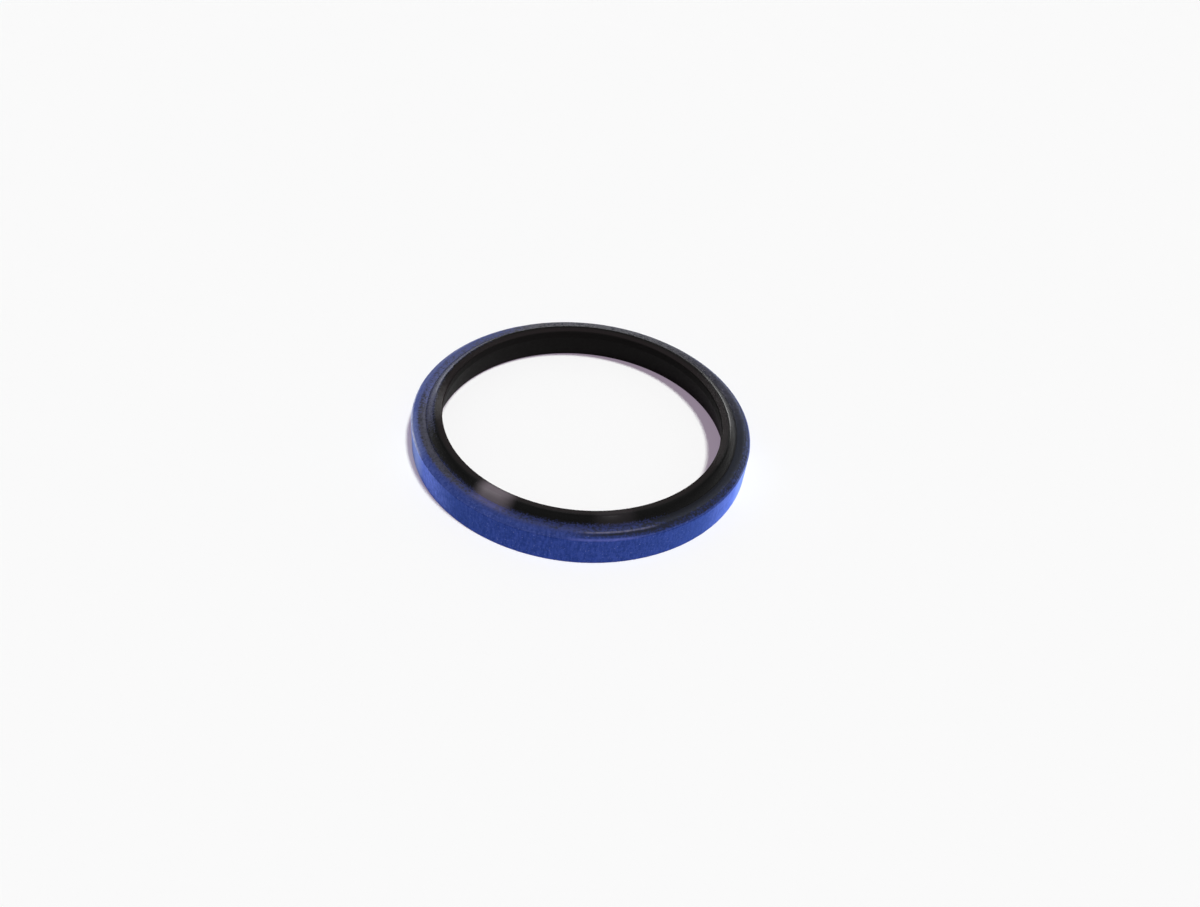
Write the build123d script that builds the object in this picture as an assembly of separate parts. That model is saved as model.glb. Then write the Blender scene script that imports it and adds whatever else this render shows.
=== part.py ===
from build123d import *
import os

# Shaft seal: a pressed steel case with a moulded rubber lip bonded into it.
# Both pieces are turned shapes, so each is one section in the R-Z half plane,
# revolved about the shaft's axis. The origin is at the centre of the back,
# where the seal rests, and +Z points out through the lip.

# Sizes that name the seal, in millimetres
shaft_diameter = 60.0
radial_section = 6.0          # from the shaft to the housing bore, on one side
case_width = 7.0              # from the back edge of the wall to the steel face

# Steel case: a wall, a chamfered corner and a flange, all of one sheet
sheet = 1.0
lead_in_width = 1.3           # radial width of the chamfered corner
lead_in_height = 0.95
case_bend = 0.3               # outside rounding where the sheet turns
wall_edge_break = 0.15        # on the cut edge of the wall

# Rubber lip, measured outwards from the lip's edge
lip_bite = 0.4                # how far the free lip stands inside the shaft's radius
land_width = 1.8              # from the lip's edge out to the crest
land_drop = 0.4               # from the crest down to the lip's edge
shoulder_width = 1.6          # from the crest out to the flange's inner edge
crest_rise = 1.15             # from the steel face up to the crest
contact_band = 1.6            # height of the band that runs on the shaft
crest_round = 0.5
lip_round = 0.3

# Rubber behind the flange
throat_flare = 1.7            # how much wider the throat is at the back than at the lip
back_recess = 0.2             # how far the rubber stays inside the back edge of the wall
leg_thickness = 1.2           # foot of the leg that carries the lip
wall_lining = 0.9             # rubber on the inside of the steel wall
relief_depth = 3.4            # ring-shaped relief that lets the lip flex
foot_round = 0.25

# Radii and heights that follow from the sizes
shaft_radius = shaft_diameter / 2
case_radius = shaft_radius + radial_section
case_inner_radius = case_radius - sheet
lip_radius = shaft_radius - lip_bite
crest_radius = lip_radius + land_width
flange_radius = crest_radius + shoulder_width
throat_radius = lip_radius + throat_flare
crest_height = case_width + crest_rise
lip_height = crest_height - land_drop

at_a_corner = 1e-4            # a vertex this near to a corner is that corner


def mitred(corner, before, after, distance):
    """Moves a corner between two straight sides inwards, to keep one sheet thickness."""
    return corner + (before + after) * (distance / (1 + before.dot(after)))


def filleted(face, corners, radius):
    """Rounds the face's vertices that lie at the given (radius, height) corners."""
    spots = [Vector(*corner) for corner in corners]
    picked = [v for v in face.vertices() if min((Vector(v) - s).length for s in spots) < at_a_corner]
    return fillet(picked, radius)


def turned(section):
    """Revolves a section drawn as X = radius, Y = height about the shaft's axis."""
    return revolve(Plane.XZ * section, axis=Axis.Z)


# The case's outer line runs up the wall, across the chamfer and in along the flange.
wall_foot = Vector(case_radius, 0)
wall_top = Vector(case_radius, case_width - lead_in_height)
face_edge = Vector(case_radius - lead_in_width, case_width)
flange_edge = Vector(flange_radius, case_width)

wall_inwards = Vector(-1, 0)
lead_in_inwards = Vector(-lead_in_height, -lead_in_width).normalized()
flange_inwards = Vector(0, -1)
inner_wall_top = mitred(wall_top, wall_inwards, lead_in_inwards, sheet)
inner_face_edge = mitred(face_edge, lead_in_inwards, flange_inwards, sheet)


def case_section():
    """Section of the pressed steel case."""
    outline = Polyline(
        wall_foot,
        wall_top,
        face_edge,
        flange_edge,
        flange_edge + flange_inwards * sheet,
        inner_face_edge,
        inner_wall_top,
        wall_foot + wall_inwards * sheet,
        close=True,
    )
    section = make_face(outline)
    section = filleted(section, [wall_top, face_edge], case_bend)
    return filleted(section, [wall_foot], wall_edge_break)


def relief_section():
    """Section of the ring-shaped relief in the back, round at its closed end."""
    inner = throat_radius + leg_thickness
    outer = case_inner_radius - wall_lining
    middle = (inner + outer) / 2
    end_radius = (outer - inner) / 2
    shoulder = relief_depth - end_radius
    mouth = -sheet  # past the back, so that the relief is open
    sides = Polyline((inner, shoulder), (inner, mouth), (outer, mouth), (outer, shoulder))
    closed_end = ThreePointArc((outer, shoulder), (middle, relief_depth), (inner, shoulder))
    return make_face(sides + closed_end)


def rubber_section(steel):
    """Section of the moulded rubber: the lip in front, the lining and leg behind."""
    crest = Vector(crest_radius, crest_height)
    lip = Vector(lip_radius, lip_height)
    band_foot = Vector(lip_radius, lip_height - contact_band)
    heel = Vector(throat_radius, back_recess)
    lining_foot = Vector(case_inner_radius, back_recess)
    outline = Polyline(
        flange_edge,
        crest,
        lip,
        band_foot,
        heel,
        lining_foot,
        inner_wall_top,
        inner_face_edge,
        close=True,
    )
    section = make_face(outline)
    section = filleted(section, [crest], crest_round)
    section = filleted(section, [lip, band_foot], lip_round)
    section = section - steel - relief_section()
    leg_foot = Vector(throat_radius + leg_thickness, back_recess)
    lining_edge = Vector(case_inner_radius - wall_lining, back_recess)
    return filleted(section, [heel, leg_foot, lining_edge], foot_round)


steel_section = case_section()
subparts = {
    "metal_case": turned(steel_section),
    "rubber_lip": turned(rubber_section(steel_section)),
}

os.makedirs("parts", exist_ok=True)
for node, solid in subparts.items():
    export_step(solid, f"parts/{node}.step")
    print(f"{node}: {solid.volume:.1f} mm3")
print(f"overall diameter {2 * case_radius:.1f}, height {crest_height:.2f}, lip {2 * lip_radius:.1f}")
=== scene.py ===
# %% [markdown]
# A shaft seal keeps the oil in a machine where a turning shaft leaves its housing. This one is a pressed
# steel case, coated blue where it is pushed into the housing, with a black rubber lip bonded into it.
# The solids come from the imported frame, so this lesson gives them their looks: a camera, a plain white
# table, soft light, finer turned meshes, and materials made of nodes.

# %% Load the frame
import math

import bmesh
import bpy
from mathutils import Matrix, Vector


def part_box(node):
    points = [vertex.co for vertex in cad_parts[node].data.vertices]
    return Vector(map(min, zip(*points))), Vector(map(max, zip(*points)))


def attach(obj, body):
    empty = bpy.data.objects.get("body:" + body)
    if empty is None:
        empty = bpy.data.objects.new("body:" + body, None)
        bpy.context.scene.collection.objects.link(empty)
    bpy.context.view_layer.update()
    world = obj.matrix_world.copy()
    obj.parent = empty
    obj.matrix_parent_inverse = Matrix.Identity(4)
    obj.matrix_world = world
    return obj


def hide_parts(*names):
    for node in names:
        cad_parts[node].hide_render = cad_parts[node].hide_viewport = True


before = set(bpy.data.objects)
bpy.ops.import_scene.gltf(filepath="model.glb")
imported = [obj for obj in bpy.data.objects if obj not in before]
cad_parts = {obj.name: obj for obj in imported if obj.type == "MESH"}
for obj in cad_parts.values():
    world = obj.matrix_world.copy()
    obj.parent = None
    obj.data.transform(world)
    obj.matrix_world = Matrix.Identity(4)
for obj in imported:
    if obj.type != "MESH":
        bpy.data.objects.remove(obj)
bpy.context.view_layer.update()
mm = 0.001  # the frame is in metres, and the seal's sizes are said in millimetres
print("nodes:", sorted(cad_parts))

# %% [markdown]
# The camera stands in front of the seal and looks down at it. A camera can be turned with angles or told
# to look at a target, but this one is also rolled a little, as a hand-held one is. So its three axes are
# built from where it stands, where it looks and how far it is rolled, and they become its matrix.

# %% Camera
camera_place = Vector((-4.727, -156.987, 134.084)) * mm
camera_aim = Vector((4.356, -4.234, 0.0)) * mm
camera_roll = math.radians(7.199)
camera_lens = 28.462      # millimetres, on a sensor 36 mm wide
sensor_width = 36.0

looking = (camera_aim - camera_place).normalized()
level_right = looking.cross(Vector((0, 0, 1))).normalized()
level_up = level_right.cross(looking)
right = level_right * math.cos(camera_roll) + level_up * math.sin(camera_roll)
up = right.cross(looking)

camera_data = bpy.data.cameras.new("camera")
camera_data.lens = camera_lens
camera_data.sensor_width = sensor_width
camera_data.sensor_fit = "HORIZONTAL"
camera_data.clip_start = 1 * mm
camera = bpy.data.objects.new("camera", camera_data)
camera.matrix_world = Matrix.Translation(camera_place) @ Matrix((right, up, -looking)).transposed().to_4x4()
bpy.context.scene.collection.objects.link(camera)
bpy.context.scene.camera = camera
print(f"camera {camera_place.length / mm:.0f} mm from the seal")

# %% [markdown]
# The table, the room and the seal's materials are described with nodes. They could be drawn by hand in the
# shader editor, but a script is easier to change. Long lists of links are hard to read, though. So these
# helpers take a value or another node's socket in the same place, and link what has to be linked.

# %% Node helpers
def give(tree, target, value):
    """Links a socket to the input, or writes a number or colour into it."""
    if isinstance(value, bpy.types.NodeSocket):
        tree.links.new(value, target)
    else:
        target.default_value = value


def add(tree, kind, values=(), **settings):
    """A new node with its settings, and its inputs given by name."""
    node = tree.nodes.new(kind)
    for name, setting in settings.items():
        setattr(node, name, setting)
    for name, value in dict(values).items():
        give(tree, node.inputs[name], value)
    return node


def calculate(tree, operation, *values):
    """A Math node with its inputs in order, and its result."""
    node = add(tree, "ShaderNodeMath", operation=operation)
    for target, value in zip(node.inputs, values):
        give(tree, target, value)
    return node.outputs[0]


print("node helpers: give, add, calculate")

# %% [markdown]
# Three more come up all the time: a mix of two colours, an empty tree, and a grey. A new material may come
# with a shader of its own. It could be kept and looked up by name, but names change with the language that
# Blender speaks, so it is cleared away.

# %% Colour helpers
def blended(tree, share, first, second):
    """A colour between two colours."""
    node = add(tree, "ShaderNodeMix", {"Factor": share, "A": first, "B": second}, data_type="RGBA")
    return node.outputs["Result"]


def empty_tree(owner):
    """Turns nodes on for a material or world and clears what is there."""
    owner.use_nodes = True
    owner.node_tree.nodes.clear()
    return owner.node_tree


def grey(value):
    """A grey of one linear value."""
    return (value, value, value, 1)


print("colour helpers: blended, empty_tree, grey")

# %% [markdown]
# The seal lies on a white table. It could be a thin slab, but only its top is ever seen, so one face is
# enough.

# %% Table
table_size = 4.0          # metres, so that its edge is out of every picture

table_bm = bmesh.new()
bmesh.ops.create_grid(table_bm, x_segments=1, y_segments=1, size=table_size / 2)
table_mesh = bpy.data.meshes.new("table")
table_bm.to_mesh(table_mesh)
table_bm.free()
table = bpy.data.objects.new("table", table_mesh)
bpy.context.scene.collection.objects.link(table)
print(f"table {table_size:.0f} m wide")

# %% [markdown]
# The picture is bright, so only the seal's own shadow shows on the table. More light would bleach the seal
# too. Instead the table's colour depends on who looks: camera rays find it nearly white, and the light that
# bounces from it onto the seal finds a plain pale grey. The shadow has a violet tinge, so a faint violet
# glow is all that the camera finds where the key light is blocked.

# %% White surface
picture_white = 0.956     # linear value of the picture's white
shadow_glow = (0.245, 0.190, 0.255)
bounced_grey = 0.62

table_material = bpy.data.materials.new("white_table")
tree = empty_tree(table_material)
rays = add(tree, "ShaderNodeLightPath")
sees_white = calculate(tree, "MAXIMUM", rays.outputs["Is Camera Ray"], rays.outputs["Is Glossy Ray"])
lit_white = tuple(picture_white - glow for glow in shadow_glow) + (1,)
table_colour = blended(tree, sees_white, grey(bounced_grey), lit_white)
diffuse = add(tree, "ShaderNodeBsdfDiffuse", {"Color": table_colour})
glowing = add(tree, "ShaderNodeEmission", {"Color": shadow_glow + (1,), "Strength": sees_white})
surface = add(tree, "ShaderNodeAddShader")
give(tree, surface.inputs[0], diffuse.outputs["BSDF"])
give(tree, surface.inputs[1], glowing.outputs["Emission"])
add(tree, "ShaderNodeOutputMaterial", {"Surface": surface.outputs["Shader"]})
table_mesh.materials.append(table_material)
print("white in the picture", picture_white, "and grey for the light that bounces", bounced_grey)

# %% [markdown]
# Two kinds of light are enough for a small thing on a table: a key light high at the front right, which
# draws the crisp shadow inside the ring, and an even glow from the room. The key is a sun lamp, because
# its light is equally strong all over the table. The glow is the world itself.

# %% Key light
key_azimuth = -37.6       # degrees from +X, counted towards +Y
key_elevation = 73.4
key_width = 8.0           # degrees across, which gives the shadow's edge its softness
key_share = 0.90          # of a level surface's light, and the room gives the rest


def direction(azimuth, elevation):
    """The unit vector towards a place in the sky, from two angles in degrees."""
    along = math.radians(azimuth)
    above = math.radians(elevation)
    return Vector((math.cos(above) * math.cos(along), math.cos(above) * math.sin(along), math.sin(above)))


key_data = bpy.data.lights.new("key", "SUN")
key_data.energy = key_share * math.pi / math.sin(math.radians(key_elevation))
key_data.angle = math.radians(key_width)
key = bpy.data.objects.new("key", key_data)
key.matrix_world = direction(key_azimuth, key_elevation).to_track_quat("Z", "Y").to_matrix().to_4x4()
key.visible_glossy = False
bpy.context.scene.collection.objects.link(key)
print(f"key light {key_data.energy:.2f} W/m2, {key_share:.0%} of the light on the table")

# %% [markdown]
# A shiny ring shows the room all round it. A photograph of a room would do, but a few brightnesses by
# height are enough: bright near the table, dark above it and a lighter belt high up. Only glossy rays see
# them. The camera sees the picture's white, and everything else is lit by one even glow.

# %% Room
room_glow = 1 - key_share
shine_by_elevation = {    # degrees above the table: how bright the room looks in a shiny surface
    0: 0.50,
    15: 0.30,
    25: 0.17,
    45: 0.08,
    52: 0.24,
    60: 0.28,
    68: 0.16,
    90: 0.10,
}
room = bpy.data.worlds.new("room")
tree = empty_tree(room)
rays = add(tree, "ShaderNodeLightPath")
looked = add(tree, "ShaderNodeTexCoord")
height = add(tree, "ShaderNodeSeparateXYZ", {"Vector": looked.outputs["Generated"]})
ramp = add(tree, "ShaderNodeValToRGB", {"Fac": height.outputs["Z"]})
stops = ramp.color_ramp.elements
for stop, elevation in zip(stops, (min(shine_by_elevation), max(shine_by_elevation))):
    stop.color = grey(shine_by_elevation[elevation])
for elevation, brightness in list(shine_by_elevation.items())[1:-1]:
    stops.new(math.sin(math.radians(elevation))).color = grey(brightness)
shine = blended(tree, rays.outputs["Is Glossy Ray"], grey(room_glow), ramp.outputs["Color"])
glow = blended(tree, rays.outputs["Is Camera Ray"], shine, grey(picture_white))
background = add(tree, "ShaderNodeBackground", {"Color": glow})
add(tree, "ShaderNodeOutputWorld", {"Surface": background.outputs["Background"]})
bpy.context.scene.world = room
bpy.context.scene.view_settings.view_transform = "Standard"
print(f"room glow {room_glow:.2f}, and {len(stops)} brightnesses by height for shiny surfaces")

# %% [markdown]
# The rubber has soft bright bands across it where windows and lamps are mirrored. Each band asks for a
# light in one direction, so each gets a soft panel there. The panels are seen by glossy rays only: they
# draw the bands and add nothing to the light on the seal or the table.

# %% Reflected panels
panel_distance = 0.6      # metres


def panel(name, azimuth, elevation, width, height, brightness):
    """A panel that only shows in shiny surfaces. Its place and its size are angles seen from the seal."""
    data = bpy.data.lights.new(name, "AREA")
    data.shape = "RECTANGLE"
    data.size = 2 * panel_distance * math.tan(math.radians(width / 2))
    data.size_y = 2 * panel_distance * math.tan(math.radians(height / 2))
    data.energy = brightness * math.pi * data.size * data.size_y
    away = direction(azimuth, elevation)
    lamp = bpy.data.objects.new(name, data)
    facing_seal = away.to_track_quat("Z", "Y").to_matrix().to_4x4()
    lamp.matrix_world = Matrix.Translation(away * panel_distance) @ facing_seal
    lamp.visible_camera = False
    lamp.visible_diffuse = False
    bpy.context.scene.collection.objects.link(lamp)
    print(name, "at", azimuth, elevation)


panel("panel_key", azimuth=-49, elevation=66, width=6, height=6, brightness=6)
panel("panel_right", azimuth=63, elevation=28, width=16, height=12, brightness=11)
panel("panel_back", azimuth=108, elevation=22, width=14, height=12, brightness=3)
panel("panel_back_left", azimuth=121, elevation=17, width=12, height=14, brightness=5)
panel("panel_left", azimuth=-166, elevation=52, width=8, height=16, brightness=5)

# %% [markdown]
# The seal has the same section all round. It could be rings cut from cylinders, but then each corner would
# be a bevel of hundreds of edges. So a closed outline of a few corners is drawn, and spun afterwards. Its
# corners are rounded before the spin, because there each rounding is a single vertex bevel.

# %% Outline helpers
steps_per_rounding = 7


def outline_wire(corners):
    """A closed outline as a wire: radius along X and height along Z, in millimetres."""
    bm = bmesh.new()
    verts = [bm.verts.new((radius * mm, 0, height * mm)) for radius, height in corners]
    for start, end in zip(verts, verts[1:] + verts[:1]):
        bm.edges.new((start, end))
    return bm


def round_corner(bm, corner, radius):
    """Rounds one corner of the outline. The bevel is told how far it reaches along the two sides."""
    place = Vector((corner[0] * mm, 0, corner[1] * mm))
    vert = min(bm.verts, key=lambda v: (v.co - place).length)
    sides = [edge.other_vert(vert).co - vert.co for edge in vert.link_edges]
    turn = math.pi - sides[0].angle(sides[1])
    bmesh.ops.bevel(
        bm, geom=[vert], offset=radius * mm * math.tan(turn / 2), offset_type="OFFSET",
        segments=steps_per_rounding, profile=0.5, affect="VERTICES", material=-1,
    )


print("outlines have", steps_per_rounding, "steps for each rounding")

# %% [markdown]
# The spin goes once round the shaft's axis. A Screw modifier could do it and stay open to change, but the
# operator's mesh can have its seam closed and its faces turned outwards straight away. A Weighted Normal
# modifier keeps the flats flat beside the small roundings, where smooth shading alone would bend them.

# %% Spin helper
steps_around = 288
same_place = 1e-7         # metres, nearer than which two vertices are one


def spun(name, bm):
    """Spins the outline once round the shaft's axis and makes it a smooth object."""
    bmesh.ops.spin(
        bm, geom=bm.verts[:] + bm.edges[:], cent=(0, 0, 0), axis=(0, 0, 1),
        angle=2 * math.pi, steps=steps_around, use_merge=True,
    )
    bmesh.ops.remove_doubles(bm, verts=bm.verts[:], dist=same_place)
    bmesh.ops.recalc_face_normals(bm, faces=bm.faces[:])
    for face in bm.faces:
        face.smooth = True
    mesh = bpy.data.meshes.new(name)
    bm.to_mesh(mesh)
    bm.free()
    piece = bpy.data.objects.new(name, mesh)
    bpy.context.scene.collection.objects.link(piece)
    weighted = piece.modifiers.new("flats stay flat", "WEIGHTED_NORMAL")
    weighted.keep_sharp = True
    print(name, len(mesh.polygons), "faces")
    return piece


print("a spin has", steps_around, "steps")

# %% [markdown]
# The case is drawn from sheet steel 1 mm thick: a straight wall, a chamfered corner that leads it into the
# housing, and a flat flange. A press leaves small roundings where the sheet turns, and they carry the two
# bright lines that show what the thing is made of. A solidify modifier could give the sheet its thickness,
# but here the inner line is drawn too, because the rubber follows it. The case's height and radius are read
# from the frame.

# %% Case's section
_, case_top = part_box("metal_case")
case_radius = case_top.x / mm
case_width = case_top.z / mm
sheet = 1.0
lead_in_width = 1.3       # of the chamfer
lead_in_height = 0.95
flange_radius = 33.0      # of the flange's inner edge
case_bend = 0.3           # outside rounding where the sheet turns
wall_edge_break = 0.15    # on the cut edge of the wall

chamfer_tilt = math.atan2(lead_in_height, lead_in_width)
inner_step = sheet * math.tan(chamfer_tilt / 2)                   # inwards, where it meets the flange
inner_drop = sheet * math.tan((math.pi / 2 - chamfer_tilt) / 2)   # downwards, where it meets the wall
inner_wall = case_radius - sheet
wall_foot = (case_radius, 0.0)
wall_top = (case_radius, case_width - lead_in_height)
face_edge = (case_radius - lead_in_width, case_width)
flange_edge = (flange_radius, case_width)
flange_back = (flange_radius, case_width - sheet)
inner_face_edge = (case_radius - lead_in_width - inner_step, case_width - sheet)
inner_wall_top = (inner_wall, case_width - lead_in_height - inner_drop)
print(f"case {2 * case_radius:.1f} mm across, {case_width:.1f} mm high, sheet {sheet} mm")

# %% [markdown]
# The outline runs up the wall, over the chamfer, in along the flange and back inside the sheet. The inner
# bends could be rounded too, but rubber fills them, so only the three outer corners are. The finished ring
# rides on the seal's one body, and it stands for the solid case in the picture.

# %% Case
case_wire = outline_wire([
    wall_foot,
    wall_top,
    face_edge,
    flange_edge,
    flange_back,
    inner_face_edge,
    inner_wall_top,
    (inner_wall, 0.0),
])
round_corner(case_wire, wall_top, case_bend)
round_corner(case_wire, face_edge, case_bend)
round_corner(case_wire, wall_foot, wall_edge_break)
case = spun("pressed_case", case_wire)
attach(case, "root")
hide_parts("metal_case")

# %% [markdown]
# The rubber is moulded straight onto the steel, in one piece: a lip that stands above the flange, a
# conical throat below it, and a ring-shaped relief in the back that lets the lip flex. The relief could be
# cut with a boolean, but a section needs none: it is one outline again, with the relief as a notch in it.
# Along the bond it follows the steel's inside, corner for corner.

# %% Rubber's section
lip_radius = 29.6
crest_radius = 31.4
crest_height = 8.15       # before it is rounded
lip_height = 7.75
band_height = 1.6         # of the band that runs on the shaft
throat_radius = 31.3      # at the back
back_recess = 0.2         # from the case's back edge in to the rubber
leg = 1.2                 # thickness of the leg that carries the lip
lining = 0.9              # thickness of the rubber inside the steel wall
relief_depth = 3.4
crest_round = 0.5
lip_round = 0.3
foot_round = 0.25
relief_round = 0.75

crest = (crest_radius, crest_height)
lip = (lip_radius, lip_height)
band_foot = (lip_radius, lip_height - band_height)
heel = (throat_radius, back_recess)
leg_foot = (throat_radius + leg, back_recess)
relief_inner = (throat_radius + leg, relief_depth)
relief_outer = (inner_wall - lining, relief_depth)
lining_edge = (inner_wall - lining, back_recess)
print(f"lip {2 * lip_radius:.1f} mm across, crest {crest_height - case_width:.2f} mm above the flange")

# %% [markdown]
# The outline runs from the flange over the crest to the lip, down the throat, round the relief and back up
# along the steel. The relief's closed end could be an arc of many corners. Two roundings of nearly half its
# width make it from the two corners of a plain slot.

# %% Rubber
rubber_wire = outline_wire([
    flange_edge,
    crest,
    lip,
    band_foot,
    heel,
    leg_foot,
    relief_inner,
    relief_outer,
    lining_edge,
    (inner_wall, back_recess),
    inner_wall_top,
    inner_face_edge,
    flange_back,
])
round_corner(rubber_wire, crest, crest_round)
for corner in (lip, band_foot):
    round_corner(rubber_wire, corner, lip_round)
for corner in (heel, leg_foot, lining_edge):
    round_corner(rubber_wire, corner, foot_round)
for corner in (relief_inner, relief_outer):
    round_corner(rubber_wire, corner, relief_round)
rubber = spun("moulded_lip", rubber_wire)
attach(rubber, "root")
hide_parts("rubber_lip")

# %% [markdown]
# The finish changes with the place on the ring: the coat is whole on the wall and thins out over the
# flange. A picture could carry that, but it would need a seam and blur close up. So the materials share
# a few node groups. A group knows nothing about colour: it puts out a place, a mask or a value, and each
# material uses it with numbers of its own.

# %% Group helpers
def new_group(name, inputs, outputs):
    """A shader node group with named sockets. Returns its tree, its inputs' sockets and its results."""
    group = bpy.data.node_groups.new(name, "ShaderNodeTree")
    for socket_name, default in inputs.items():
        kind = "NodeSocketVector" if isinstance(default, tuple) else "NodeSocketFloat"
        socket = group.interface.new_socket(socket_name, in_out="INPUT", socket_type=kind)
        socket.default_value = default
    for socket_name, kind in outputs.items():
        group.interface.new_socket(socket_name, in_out="OUTPUT", socket_type=kind)
    entry = group.nodes.new("NodeGroupInput")
    leaving = group.nodes.new("NodeGroupOutput")
    print("group", name, "gives", ", ".join(outputs))
    return group, entry.outputs, leaving.inputs


def use(tree, group, values=()):
    """Places a group in a material, with values of its own."""
    node = tree.nodes.new("ShaderNodeGroup")
    node.node_tree = group
    for name, value in dict(values).items():
        give(tree, node.inputs[name], value)
    return node


print("group helpers: new_group, use")

# %% [markdown]
# A few steps come again in each group and material: an eased limit, a number between two others, a place
# in millimetres and a noise. A colour ramp could ease a value as well, but its stops can't be linked. A Map
# Range node takes its limits from sockets, so a group's inputs can set them.

# %% Value helpers
def eased(tree, value, start, end):
    """0 before start, 1 after end and a smooth step between."""
    limits = {"Value": value, "From Min": start, "From Max": end}
    return add(tree, "ShaderNodeMapRange", limits, interpolation_type="SMOOTHSTEP").outputs["Result"]


def between(tree, share, first, second):
    """A number between two numbers."""
    values = {"Value": share, "To Min": first, "To Max": second}
    return add(tree, "ShaderNodeMapRange", values).outputs["Result"]


def in_millimetres(tree):
    """Object coordinates in millimetres, so that a noise's scale is a number of grains per millimetre."""
    places = add(tree, "ShaderNodeTexCoord")
    scaled = add(tree, "ShaderNodeVectorMath", operation="SCALE")
    give(tree, scaled.inputs[0], places.outputs["Object"])
    give(tree, scaled.inputs["Scale"], 1 / mm)
    return scaled.outputs[0]


def noise(tree, point, grain, detail, roughness=0.5):
    """A noise between 0 and 1, with so many grains per millimetre."""
    values = {"Vector": point, "Scale": grain, "Detail": detail, "Roughness": roughness}
    return add(tree, "ShaderNodeTexNoise", values).outputs["Fac"]


print("value helpers: eased, between, in_millimetres, noise")

# %% [markdown]
# On a turned part a place is best told by its distance from the axis, its height and the direction in
# which it lies. A UV map could hold them, but Object coordinates need no unwrapping. This group works them
# out once, so that every mask below can be given in millimetres.

# %% Place on the ring
ring_place, entry, leaving = new_group("place_on_the_ring", {}, {
    "Radius": "NodeSocketFloat",
    "Height": "NodeSocketFloat",
    "Outwards": "NodeSocketVector",
})
point = in_millimetres(ring_place)
flat = add(ring_place, "ShaderNodeVectorMath", operation="MULTIPLY")
give(ring_place, flat.inputs[0], point)
give(ring_place, flat.inputs[1], (1, 1, 0))
length = add(ring_place, "ShaderNodeVectorMath", operation="LENGTH")
give(ring_place, length.inputs[0], flat.outputs[0])
outwards = add(ring_place, "ShaderNodeVectorMath", operation="NORMALIZE")
give(ring_place, outwards.inputs[0], flat.outputs[0])
parts = add(ring_place, "ShaderNodeSeparateXYZ", {"Vector": point})
give(ring_place, leaving["Radius"], length.outputs["Value"])
give(ring_place, leaving["Height"], parts.outputs["Z"])
give(ring_place, leaving["Outwards"], outwards.outputs[0])

# %% [markdown]
# A spray gun stands on one side, so its coat is thick there and thin on the far side. Worn, dusty and
# filmed places lie on one side too. The share of a side is the cosine between the direction of the place
# and the middle of that side, eased at both ends. A line through the axis would cut the ring too sharply.

# %% One side of the ring
one_side, entry, leaving = new_group(
    "one_side",
    {"Outwards": (1, 0, 0), "Middle": (1, 0, 0), "Fades at": 0.0, "Full at": 1.0},
    {"Share": "NodeSocketFloat"},
)
towards = add(one_side, "ShaderNodeVectorMath", operation="DOT_PRODUCT")
give(one_side, towards.inputs[0], entry["Outwards"])
give(one_side, towards.inputs[1], entry["Middle"])
share = eased(one_side, towards.outputs["Value"], entry["Fades at"], entry["Full at"])
give(one_side, leaving["Share"], share)


def share_of_side(tree, place, side):
    """How much of a side a place is. A side is its middle in degrees, and the cosines of its two ends."""
    azimuth, fades_at, full_at = side
    values = {"Outwards": place.outputs["Outwards"], "Middle": tuple(direction(azimuth, 0))}
    return use(tree, one_side, values | {"Fades at": fades_at, "Full at": full_at}).outputs["Share"]


def larger_share(tree, place, first, second):
    """How much of either of two sides a place is."""
    shares = [share_of_side(tree, place, side) for side in (first, second)]
    return calculate(tree, "MAXIMUM", *shares)


# %% [markdown]
# Where a sprayed coat thins out, it ends in a speckle of fine drops. A soft gradient would look like
# smoke. So the cover is compared with a fine noise: the more cover, the more of its grains are coated.

# %% Speckle
grain_heights = (0.25, 0.75)      # a noise seldom goes past these

speckle, entry, leaving = new_group(
    "speckle",
    {"Cover": 0.5, "Grain": 3.0, "Softness": 0.3},
    {"Speckled": "NodeSocketFloat"},
)
grains = noise(speckle, in_millimetres(speckle), entry["Grain"], detail=2.0, roughness=0.7)
spread = eased(speckle, grains, *grain_heights)
width = calculate(speckle, "MULTIPLY", entry["Softness"], 2.0)
whole = calculate(speckle, "ADD", width, 1.0)
low = calculate(speckle, "SUBTRACT", 1.0, calculate(speckle, "MULTIPLY", entry["Cover"], whole))
high = calculate(speckle, "ADD", low, width)
give(speckle, leaving["Speckled"], eased(speckle, spread, low, high))


def speckled(tree, cover, grain, softness):
    """The speckle of a thin coat: how much is covered, its grains per millimetre and how soft they are."""
    return use(tree, speckle, {"Cover": cover, "Grain": grain, "Softness": softness}).outputs["Speckled"]


# %% [markdown]
# Thin lines run round the bends where the sheet turns: painted highlights, a stripe of partly painted shade,
# and one plain light line. Pointiness would find such edges, but it also finds every other edge. Each turn is
# a circle round the axis, so a line is a band about one radius or one height, broken by a noise.

# %% Broken line
gap_edges = (0.35, 0.65)          # heights of the noise between which a gap begins

broken_line, entry, leaving = new_group(
    "broken_line",
    {"Place": 0.0, "Line at": 0.0, "Half width": 0.2, "Broken": 0.5, "Grain": 1.0},
    {"On line": "NodeSocketFloat"},
)
beside = calculate(broken_line, "SUBTRACT", entry["Place"], entry["Line at"])
off_line = calculate(broken_line, "ABSOLUTE", beside)
near = calculate(broken_line, "SUBTRACT", 1.0, eased(broken_line, off_line, 0.0, entry["Half width"]))
gap_noise = noise(broken_line, in_millimetres(broken_line), entry["Grain"], detail=3.0, roughness=0.6)
gaps = calculate(broken_line, "MULTIPLY", entry["Broken"], eased(broken_line, gap_noise, *gap_edges))
unbroken = calculate(broken_line, "SUBTRACT", 1.0, gaps)
give(broken_line, leaving["On line"], calculate(broken_line, "MULTIPLY", near, unbroken))

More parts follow.
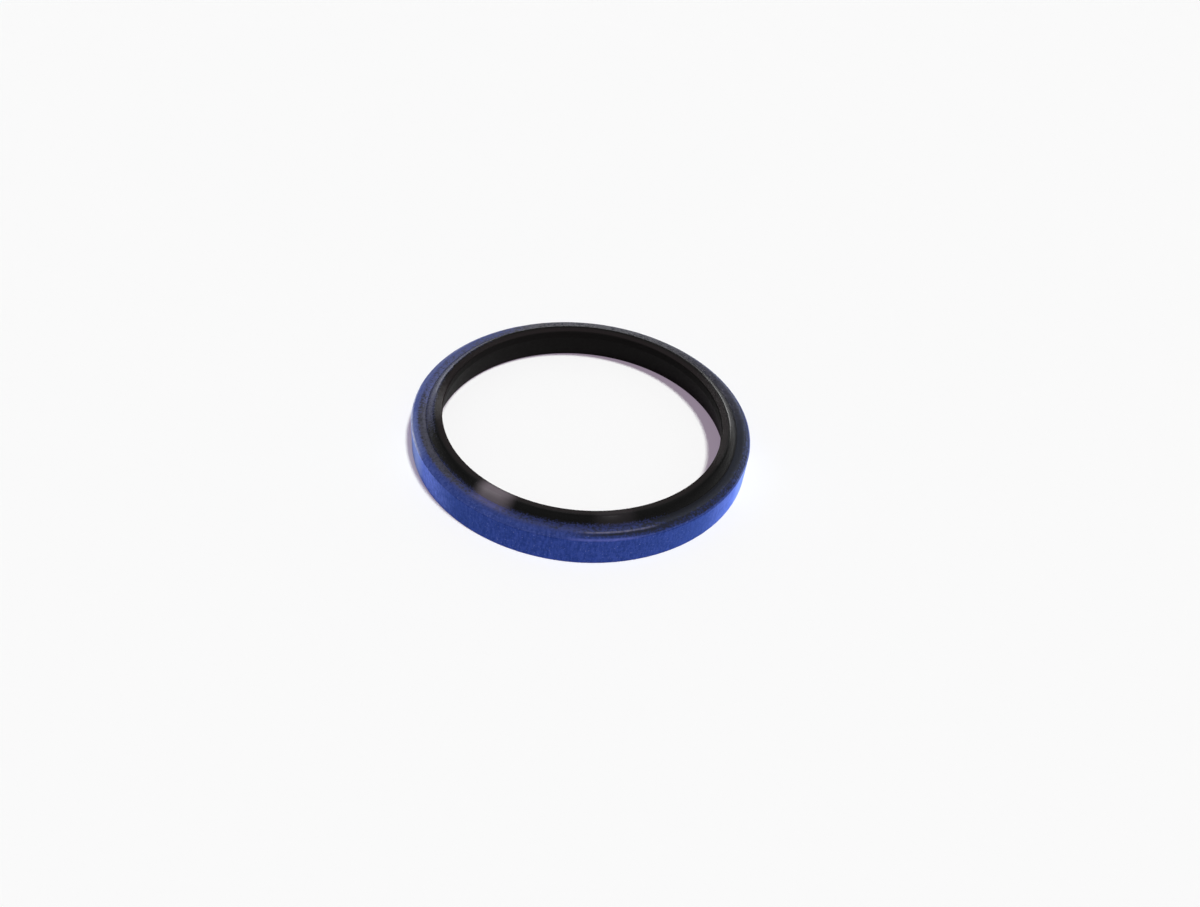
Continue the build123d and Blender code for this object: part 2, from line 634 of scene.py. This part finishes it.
# %% [markdown]
# Neither lacquer nor rubber is as smooth as glass: one dries with a fine uneven skin, and the other takes
# the skin of its mould. A picture of dents could be wrapped on them, but a noise needs no seam. One group
# gives the skin's height and its roughness, and a bump node in each material turns the height into slopes.

# %% Skin
dent_heights = (0.3, 0.7)         # the smoothest places lie below the first, and the dullest above the second

skin, entry, leaving = new_group(
    "skin",
    {"Grain": 2.0, "Smoothest": 0.3, "Roughest": 0.5},
    {"Height": "NodeSocketFloat", "Roughness": "NodeSocketFloat"},
)
dents = noise(skin, in_millimetres(skin), entry["Grain"], detail=3.0, roughness=0.6)
dulled = between(skin, eased(skin, dents, *dent_heights), entry["Smoothest"], entry["Roughest"])
give(skin, leaving["Height"], dents)
give(skin, leaving["Roughness"], dulled)


def skinned(tree, shader, grain, smoothest, roughest):
    """Gives a shader an uneven roughness, and returns the height of the same skin."""
    surface = use(tree, skin, {"Grain": grain, "Smoothest": smoothest, "Roughest": roughest})
    give(tree, shader.inputs["Roughness"], surface.outputs["Roughness"])
    return surface.outputs["Height"]


def bumped(tree, shader, depth, height):
    """Turns a height from 0 to 1 into slopes. The depth is in millimetres."""
    bump = add(tree, "ShaderNodeBump", {"Strength": 1.0, "Distance": depth * mm, "Height": height})
    give(tree, shader.inputs["Normal"], bump.outputs["Normal"])


# %% [markdown]
# In one short patch in front on the left a soft light band runs across the rubber and the steel beside it. It
# is a painted highlight: a colour over what lies below, in the place of a reflection. As one mask it runs on
# from one material into the other. Each material says where the band thins outwards and from how much to how
# much, and may add another patch to it.

# %% Painted highlight band
highlight_band_starts = (90 - 128, -0.026, 0.078)   # the edge of this side is at -128 degrees
highlight_band_ends = (-124, 0.975, 0.997)

painted_highlight_band, entry, leaving = new_group(
    "painted_highlight_band",
    {"Other patch": 0.0, "Thins from": 30.6, "Thins until": 33.0, "Inside": 1.0, "Outside": 0.5},
    {"Highlight": "NodeSocketFloat"},
)
place = use(painted_highlight_band, ring_place)
starts = share_of_side(painted_highlight_band, place, highlight_band_starts)
ends = share_of_side(painted_highlight_band, place, highlight_band_ends)
# the painted highlight band: between its two edges, thinning outwards
patch = calculate(painted_highlight_band, "MULTIPLY", starts, ends)
patches = calculate(painted_highlight_band, "MAXIMUM", patch, entry["Other patch"])
outside = eased(painted_highlight_band, place.outputs["Radius"], entry["Thins from"], entry["Thins until"])
thickness = between(painted_highlight_band, outside, entry["Inside"], entry["Outside"])
give(painted_highlight_band, leaving["Highlight"], calculate(painted_highlight_band, "MULTIPLY", patches, thickness))

# %% [markdown]
# A few light grains of dust lie on the far side, in the corner between the steel and the rubber. Loose
# grains could be scattered as meshes, but they would be smaller than a pixel. A sparse and sharp speckle
# shows them, on both materials.

# %% Dust
dusty_side = (65, 0.30, 0.70)
corner_starts = (31.6, 32.4)      # radii between which the dust comes and goes
corner_ends = (33.4, 34.4)
dust_grey = (0.420, 0.420, 0.440, 1)
dust_values = {"Cover": 0.10, "Grain": 3.2}

dust, entry, leaving = new_group("dust", {"Cover": 0.1, "Grain": 3.0}, {"Dust": "NodeSocketFloat"})
place = use(dust, ring_place)
inside = eased(dust, place.outputs["Radius"], *corner_starts)
outside = between(dust, eased(dust, place.outputs["Radius"], *corner_ends), 1.0, 0.0)
at_corner = calculate(dust, "MULTIPLY", outside, inside)
far_side = calculate(dust, "MULTIPLY", share_of_side(dust, place, dusty_side), at_corner)
cover = calculate(dust, "MULTIPLY", far_side, entry["Cover"])
give(dust, leaving["Dust"], speckled(dust, cover, entry["Grain"], softness=0.02))


def dusted(tree, colour):
    """Lets the grains of dust show."""
    return blended(tree, use(tree, dust, dust_values).outputs["Dust"], colour, dust_grey)


# %% [markdown]
# The blue coat is a thin lacquer, sprayed over the outer wall. It is deep blue where it is seen straight on.
# At the ring's two ends, where it is seen at a flat angle, a lighter painted sheen and a nearly white painted
# glint are put into its colour. One flat blue would look like plastic, so a cloudy noise varies it, and a
# second noise is drawn out down the wall as the spray was.

# %% Lacquer
deep_blue = (0.010, 0.028, 0.170, 1)
light_blue = (0.032, 0.058, 0.280, 1)
# colours of the painted sheen and the painted glint at the ring's two ends, where the wall is seen at a flat
# angle
painted_sheen_middle_blue = (0.095, 0.140, 0.540, 1)
painted_sheen_blue = (0.270, 0.340, 0.920, 1)
painted_glint_white = (0.560, 0.660, 1.000, 1)
speck_blue = (0.160, 0.190, 0.420, 1)
# sides of the painted sheen and the painted glints: azimuth, and the cosines where they fade and are full
left_painted_sheen = (-166, 0.80, 0.985)
right_painted_sheen = (-15, 0.84, 1.03)
left_painted_glint = (-163, 0.970, 0.998)
right_painted_glint = (-13, 0.955, 0.990)
drawn_out = (1.0, 1.0, 0.25)      # grains four times as high as wide
dark_to_light = (0.74, 1.26)      # sums of the two noises between which the colour changes


def mottled_blue(tree, place, darkest, lightest, painted_sheen_share):
    """The coat's colour: cloudy, a little streaked down the wall, with a painted sheen and glint at both
    ends.
    """
    point = in_millimetres(tree)
    upright = add(tree, "ShaderNodeVectorMath", operation="MULTIPLY")
    give(tree, upright.inputs[0], point)
    give(tree, upright.inputs[1], drawn_out)
    cloud = noise(tree, point, grain=1.6, detail=4.0, roughness=0.7)
    streak = noise(tree, upright.outputs[0], grain=2.2, detail=3.0)
    unevenness = eased(tree, calculate(tree, "ADD", cloud, streak), *dark_to_light)
    colour = blended(tree, unevenness, darkest, lightest)
    # painted sheen and painted glint, lighter towards the ring's two ends
    ends = calculate(tree, "MULTIPLY", larger_share(tree, place, left_painted_sheen, right_painted_sheen), painted_sheen_share)
    colour = blended(tree, ends, colour, blended(tree, unevenness, painted_sheen_middle_blue, painted_sheen_blue))
    tips = calculate(tree, "MULTIPLY", larger_share(tree, place, left_painted_glint, right_painted_glint), painted_sheen_share)
    colour = blended(tree, tips, colour, painted_glint_white)
    specks = speckled(tree, cover=0.08, grain=4.0, softness=0.02)
    return blended(tree, specks, colour, speck_blue)


print("lacquer from", deep_blue[:3], "to", painted_glint_white[:3])

# %% [markdown]
# Past the upper bend the spray reached the chamfer and the flange only as a dry mist, which is greyer than
# the lacquer and paler at the back left. The lacquer's own colour could be used there too, with less of it,
# but then the flange would be speckled in full blue. So the two colours turn into each other near the bend.

# %% Dry mist
mist_blue = (0.044, 0.056, 0.180, 1)
mist_grey = (0.080, 0.095, 0.245, 1)
pale_side = (145, 0.45, 0.95)
mist_to_lacquer = (34.2, 35.4)        # radii between which one turns into the other


def thin_coat(tree, place, whole_coat):
    """Past the bend the coat is a dry mist: greyer than the lacquer, and paler at the back left."""
    mist = blended(tree, share_of_side(tree, place, pale_side), mist_blue, mist_grey)
    return blended(tree, eased(tree, place.outputs["Radius"], *mist_to_lacquer), mist, whole_coat)


print("mist from", mist_blue[:3], "to", mist_grey[:3])

# %% [markdown]
# How much of the mist lies on the chamfer and the flange differs from side to side. It could be painted on
# an image. Shares of sides and steps in the radius say the same with a few numbers, which are easy to
# change.

# %% Cover
misty_front = (-100, 0.70, 0.90)
misty_back = (150, 0.72, 0.95)
misty_left = (-160, -0.20, 0.70)
cover_on_flange = (0.12, 0.56)        # elsewhere, and on the misty sides
cover_on_lead_in = (0.38, 0.88)
softness_outwards = (0.46, 0.80)      # from the flange to the chamfer
mist_grain = 2.2                      # grains per millimetre
flange_to_lead_in = (33.9, 35.2)      # radii between which one part of the section turns into the next
lead_in_to_wall = (35.6, 35.85)
harder_to_softer = (34.4, 35.2)


def coated_share(tree, place):
    """How much of a place is coated: all of the wall, and a speckle on the chamfer and the flange."""
    radius = place.outputs["Radius"]
    on_flange = between(tree, larger_share(tree, place, misty_front, misty_back), *cover_on_flange)
    on_lead_in = between(tree, share_of_side(tree, place, misty_left), *cover_on_lead_in)
    cover = between(tree, eased(tree, radius, *flange_to_lead_in), on_flange, on_lead_in)
    cover = between(tree, eased(tree, radius, *lead_in_to_wall), cover, 1.0)
    softness = between(tree, eased(tree, radius, *harder_to_softer), *softness_outwards)
    return speckled(tree, cover, mist_grain, softness)


print("cover on the flange", cover_on_flange, "and on the chamfer", cover_on_lead_in)

# %% [markdown]
# Between the drops of mist the sheet steel shows, dull and uneven. It mirrors a dark part of the room in
# front on the right and a bright one at the back. Steel this dull would blur both into the same grey, so both
# are painted into its colour instead: a painted reflection, dark in front on the right and light at the back.

# %% Steel with painted reflections
dark_steel = (0.020, 0.021, 0.026, 1)
light_steel = (0.062, 0.059, 0.078, 1)
painted_reflection_steel = (0.140, 0.138, 0.150, 1)
painted_dark_reflection_side = (-55, 0.20, 0.70)
painted_reflection_side = (100, 0.30, 0.85)


def steel_with_painted_reflections(tree, place):
    """Dull sheet steel with painted reflections: dark in front on the right, light at the back, speckled all
    over.
    """
    # painted reflection: dark in front on the right, light at the back
    steel = blended(tree, share_of_side(tree, place, painted_dark_reflection_side), light_steel, dark_steel)
    steel = blended(tree, share_of_side(tree, place, painted_reflection_side), steel, painted_reflection_steel)
    grains = speckled(tree, cover=0.62, grain=2.2, softness=0.45)
    return blended(tree, grains, dark_steel, steel)


print("steel from", dark_steel[:3], "to", painted_reflection_steel[:3])

# %% [markdown]
# In front, the upper bend and the bend between chamfer and flange show as two thin light lines, with a dark
# stripe between them. The upper one is a light blue line. The lower one is a painted highlight of the key
# light. The stripe is partly bare of coat and partly painted shade, where nothing bright is mirrored. At the
# left end the upper bend is nearly white, a painted highlight. Each is a band round the axis that shows on
# one side only.

# %% Bend lines
line_blue = (0.110, 0.135, 0.480, 1)
inner_bend_highlight_grey = (0.170, 0.165, 0.240, 1)
bend_highlight_white = (0.700, 0.740, 0.960, 1)
bare_and_shaded_stripe = {"Line at": 35.05, "Half width": 0.50, "Broken": 0.35, "Grain": 1.5}
upper_bend = {"Line at": 6.10, "Half width": 0.32, "Broken": 0.45, "Grain": 1.0}
inner_bend = {"Line at": 34.68, "Half width": 0.30, "Broken": 0.62, "Grain": 1.2}
bend_lines = (                      # measured along, the line, the side it shows on and its colour
    # dark stripe: partly bare of coat, partly painted shade
    ("Radius", bare_and_shaded_stripe, (-72, 0.93, 0.99), dark_steel),
    ("Height", upper_bend, (-81, 0.970, 0.998), line_blue),
    # painted highlight: the nearly white upper bend at the left end
    ("Height", upper_bend, (-172, 0.925, 0.990), bend_highlight_white),
    # painted highlight of the key light on the lower bend
    ("Radius", inner_bend, (-77, 0.965, 1.0), inner_bend_highlight_grey),
)


def with_bend_lines(tree, place, colour):
    """Lets another colour show along each line: a light blue line, painted highlights and a stripe of partly
    painted shade.
    """
    for measure, line, side, shown in bend_lines:
        on_line = use(tree, broken_line, {"Place": place.outputs[measure]} | line).outputs["On line"]
        seen = calculate(tree, "MULTIPLY", on_line, share_of_side(tree, place, side))
        colour = blended(tree, seen, colour, shown)
    return colour


print("worn lines:", len(bend_lines))

# %% [markdown]
# Each of the seal's materials has one Principled shader. Several shaders could be mixed in one material,
# but an export to other programs reads one. Numbers that are the same all over, such as its sheen or its
# anisotropy, are written into its own sockets, because the export drops them when they come from a node.

# %% Material helper
def principled(name):
    """A material with one Principled shader."""
    material = bpy.data.materials.new(name)
    tree = empty_tree(material)
    shader = add(tree, "ShaderNodeBsdfPrincipled")
    add(tree, "ShaderNodeOutputMaterial", {"Surface": shader.outputs["BSDF"]})
    return material, tree, shader


print("material helper: principled")

# %% [markdown]
# Lacquer on metal shines, and it lights up where it is seen at a flat angle, which a blue sheen gives.
# The dry mist past the bend does neither, so the chamfer and the flange have a lighter blue, less metal and
# no sheen. A mask can't change the sheen between them, because it has to stay one number. So they are two
# materials, and these are the values in which they differ.

# %% Two finishes
lacquer = {"darkest": deep_blue, "lightest": light_blue, "painted_sheen_share": 1.0}
dry_mist = {
    "darkest": (0.026, 0.047, 0.205, 1),
    "lightest": (0.050, 0.078, 0.300, 1),
    "painted_sheen_share": 0.14,
}
wall_finish = {"metallic": 0.7, "smoothest": 0.35}
face_finish = {"metallic": 0.2, "smoothest": 0.44}
print("wall", wall_finish, "and face", face_finish)

# %% [markdown]
# One recipe makes both materials. They could be two long lists of nodes, but a change would then have to be
# made twice. It lays one thing over the other: the coat over the bare steel, the painted highlight band over
# both, the bend lines with their painted highlights and shade through all of them, and the dust on top.

# %% Coated steel
blue_tint = (0.40, 0.55, 1.0, 1)
sheen_blue = (0.14, 0.26, 1.0, 1)
highlight_band_violet = (0.200, 0.188, 0.420, 1)
highlight_band_on_steel = {"Thins from": 33.6, "Thins until": 34.8, "Inside": 0.36, "Outside": 0.0}
unevenly_dull = 0.11      # how much rougher the skin's dullest places are
lacquer_grain = 2.0
lacquer_bump = 0.004      # millimetres


def coated_steel(name, sheen):
    """Steel with the blue coat: whole on the wall, a thin speckle of it past the bend."""
    finish = wall_finish if sheen else face_finish
    material, tree, shader = principled(name)
    place = use(tree, ring_place)
    whole_coat = mottled_blue(tree, place, **(lacquer if sheen else dry_mist))
    coat = thin_coat(tree, place, whole_coat)
    colour = blended(tree, coated_share(tree, place), steel_with_painted_reflections(tree, place), coat)
    # painted highlight band, running on from the rubber onto the steel beside it
    painted_band = use(tree, painted_highlight_band, highlight_band_on_steel).outputs["Highlight"]
    colour = with_bend_lines(tree, place, blended(tree, painted_band, colour, highlight_band_violet))
    give(tree, shader.inputs["Base Color"], dusted(tree, colour))
    give(tree, shader.inputs["Metallic"], finish["metallic"])
    roughest = finish["smoothest"] + unevenly_dull
    height = skinned(tree, shader, lacquer_grain, finish["smoothest"], roughest)
    bumped(tree, shader, lacquer_bump, height)
    give(tree, shader.inputs["Specular IOR Level"], 0.3)
    give(tree, shader.inputs["Specular Tint"], blue_tint)
    if sheen:
        give(tree, shader.inputs["Sheen Weight"], 1.0)
        give(tree, shader.inputs["Sheen Roughness"], 0.40)
        give(tree, shader.inputs["Sheen Tint"], sheen_blue)
    print(name, len(tree.nodes), "nodes")
    return material


coated_wall = coated_steel("coated_wall", sheen=True)
coated_flange = coated_steel("coated_flange", sheen=False)

# %% [markdown]
# The two materials meet on the upper bend. The wall's faces could be picked by height, but the inside of
# the wall, the chamfer and the flange all lie nearer to the axis, so one radius just inside the wall tells
# them apart.

# %% Case's materials
past_bend = case_radius - 0.04

case.data.materials.append(coated_wall)
case.data.materials.append(coated_flange)
for face in case.data.polygons:
    if math.hypot(face.center.x, face.center.y) < past_bend * mm:
        face.material_index = 1
dry_faces = sum(face.material_index for face in case.data.polygons)
print("faces with dry mist:", dry_faces, "of", len(case.data.polygons))

# %% [markdown]
# The rubber is black, a little greyer on the land where it has bloomed. The whole ring could be one black,
# but the land would then be lost between the crest and the lip's edge.

# %% Black rubber
black = (0.004, 0.004, 0.004, 1)
bloom_grey = (0.012, 0.009, 0.0095, 1)
crest_to_land = (31.2, 30.6)      # radii between which one part of the section turns into the next

lip_rubber, tree, shader = principled("moulded_rubber")
place = use(tree, ring_place)
radius = place.outputs["Radius"]
colour = blended(tree, eased(tree, radius, *crest_to_land), black, bloom_grey)
print("rubber from", black[:3], "to", bloom_grey[:3])

# %% [markdown]
# Some of the blue coat went past the steel when it was sprayed. It lies on the rubber's outer slope at the
# back left, and a little of it beside the flange in front. A second material could hold it, but it would
# end at the edge of a face. The speckle that ends the coat on the steel ends it here too.

# %% Overspray
overspray_grey = (0.066, 0.073, 0.150, 1)
overspray_softness = 0.80
overspray = (                     # side, radii between which it comes, cover, grain and colour
    ((165, 0.70, 0.97), (30.4, 31.8), 0.66, 2.2, overspray_grey),
    ((-110, 0.40, 0.85), (32.1, 33.3), 0.62, 2.8, mist_blue),
)

for side, radii, cover, grain, shown in overspray:
    reached = calculate(tree, "MULTIPLY", share_of_side(tree, place, side), eased(tree, radius, *radii))
    coat = speckled(tree, calculate(tree, "MULTIPLY", reached, cover), grain, overspray_softness)
    colour = blended(tree, coat, colour, shown)
print("places with overspray:", len(overspray))

# %% [markdown]
# The painted highlight band lies over the rubber and its overspray. It is weaker at the lip's edge, and a
# faint painted highlight shows once more in front, where the key light is mirrored. The dust comes last,
# because it fell on all the rest. Each of them could be a shader of its own, but as colours they all end in
# one Base Color.

# %% Painted highlight and dust on the rubber
highlight_band_grey = (0.152, 0.128, 0.146, 1)
highlight_band_on_rubber = {"Thins from": 30.6, "Thins until": 33.0, "Inside": 1.0, "Outside": 0.76}
# the faint patch is a faint painted highlight in front; the thickness below is how strong it is
faint_highlight_side = (-77, 0.988, 1.0)
faintest = 0.10                   # how thick the film is on the faint patch
edge_to_land = (29.7, 30.5)
# how strong the painted highlight band is at the lip's edge
thin_highlight = 0.62                  # how thick it is at the lip's edge

faint = between(tree, share_of_side(tree, place, faint_highlight_side), 0.0, faintest)
painted_band = use(tree, painted_highlight_band, highlight_band_on_rubber | {"Other patch": faint}).outputs["Highlight"]
thin_at_edge = between(tree, eased(tree, radius, *edge_to_land), thin_highlight, 1.0)
colour = blended(tree, calculate(tree, "MULTIPLY", painted_band, thin_at_edge), colour, highlight_band_grey)
give(tree, shader.inputs["Base Color"], dusted(tree, colour))
print("film up to", highlight_band_grey[:3])

# %% [markdown]
# Rubber out of a turned mould keeps the mould's fine rings. They spread each reflection across the lip and
# keep it narrow along it, which is what an anisotropic gloss does when its tangent runs round the axis. Cut
# grooves would take a million faces. A sine of the radius gives their height in one node, and the rubber's
# own skin is added to it.

# %% Rubber's gloss
ring_spacing = 0.45       # millimetres between the mould's rings
rubber_bump = 0.003

dents = skinned(tree, shader, grain=1.5, smoothest=0.19, roughest=0.25)
turns = calculate(tree, "MULTIPLY", radius, 2 * math.pi / ring_spacing)
rings = between(tree, calculate(tree, "SINE", turns), 0.5, 1.0)
bumped(tree, shader, rubber_bump, calculate(tree, "ADD", rings, dents))
give(tree, shader.inputs["Specular IOR Level"], 0.28)
give(tree, shader.inputs["Anisotropic"], 1.0)
give(tree, shader.inputs["Anisotropic Rotation"], 0.25)
around = add(tree, "ShaderNodeTangent", direction_type="RADIAL", axis="Z")
give(tree, shader.inputs["Tangent"], around.outputs["Tangent"])
rubber.data.materials.append(lip_rubber)
print(lip_rubber.name, len(tree.nodes), "nodes, and rings every", ring_spacing, "mm")

# %% [markdown]
# The bore and the lip's edge are matt. They mirror almost nothing and look blackest of all, with a trace
# of brown along the edge in front. They could be masked within the rubber's material, but its gloss is one
# number, so they get a material of their own.

# %% Matt bore
bore_black = (0.009, 0.008, 0.008, 1)
rim_brown = (0.016, 0.009, 0.010, 1)
brown_side = (-100, -0.20, 0.50)
brown_heights = (6.4, 7.4)        # the brown comes in between these
bore_bump = 0.004
edge_width = 0.2                  # of the lip's edge, from its smallest radius outwards

bore_rubber, tree, shader = principled("rubber_bore")
place = use(tree, ring_place)
near_edge = eased(tree, place.outputs["Height"], *brown_heights)
brown = calculate(tree, "MULTIPLY", near_edge, share_of_side(tree, place, brown_side))
give(tree, shader.inputs["Base Color"], blended(tree, brown, bore_black, rim_brown))
dents = skinned(tree, shader, grain=1.5, smoothest=0.54, roughest=0.66)
bumped(tree, shader, bore_bump, dents)
give(tree, shader.inputs["Specular IOR Level"], 0.03)
rubber.data.materials.append(bore_rubber)
for face in rubber.data.polygons:
    middle = face.center
    from_axis = math.hypot(middle.x, middle.y)
    in_bore = from_axis < (throat_radius + leg) * mm and middle.z < (lip_height - lip_round) * mm
    if in_bore or from_axis < (lip_radius + edge_width) * mm:
        face.material_index = 1
matt_faces = sum(face.material_index for face in rubber.data.polygons)
print("matt faces:", matt_faces, "of", len(rubber.data.polygons))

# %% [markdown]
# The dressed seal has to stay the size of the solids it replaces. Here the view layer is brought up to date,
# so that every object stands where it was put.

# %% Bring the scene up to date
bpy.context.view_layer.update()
